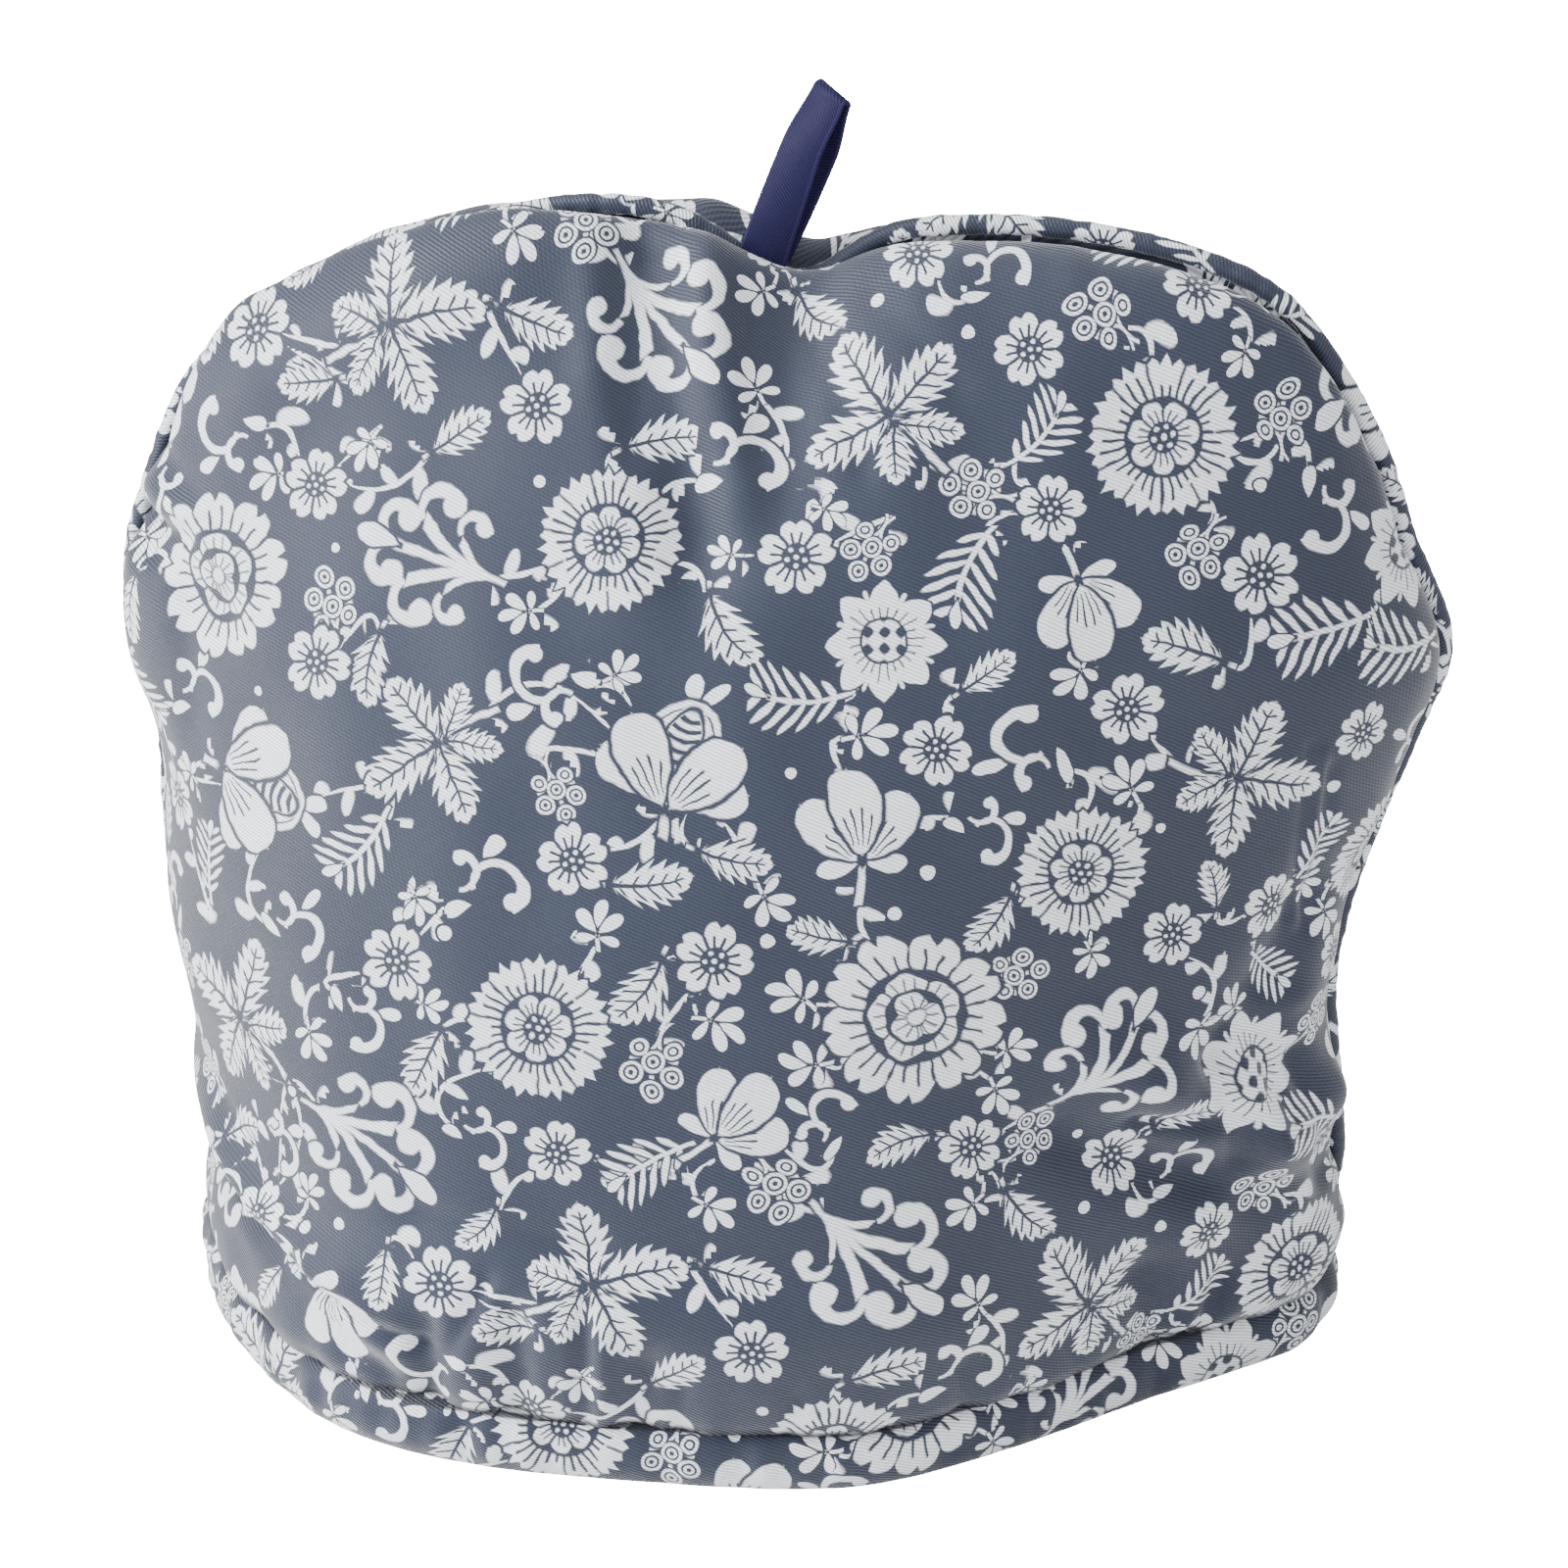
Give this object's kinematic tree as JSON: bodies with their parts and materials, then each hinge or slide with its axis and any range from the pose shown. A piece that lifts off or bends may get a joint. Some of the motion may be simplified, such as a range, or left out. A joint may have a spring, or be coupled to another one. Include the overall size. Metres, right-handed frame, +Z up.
{
  "type": "tea cosy",
  "caption": "Padded tea cosy of slate-blue floral cotton, two dome panels with a piped seam, a bound hem and a navy ribbon loop on top.",
  "frame": {"origin": "middle of the overall box, on the plane the hem stands on", "axes": "+Z up, -Y towards the front panel, +X to the right as seen from the front"},
  "size_m": [0.2957, 0.1998, 0.2889],
  "materials": {
    "printed_cotton": "soft-sheen cotton twill, slate blue with a white floral print",
    "piping_cotton": "the same cotton cut on the bias round a cord",
    "binding_cotton": "the same printed cotton folded over the hem",
    "navy_ribbon": "navy twill ribbon with a slight sheen"
  },
  "bodies": {
    "root": {"front_panel": "printed_cotton", "back_panel": "printed_cotton", "edge_piping": "piping_cotton", "hem_binding": "binding_cotton", "ribbon_loop": "navy_ribbon"}
  },
  "joints": []
}
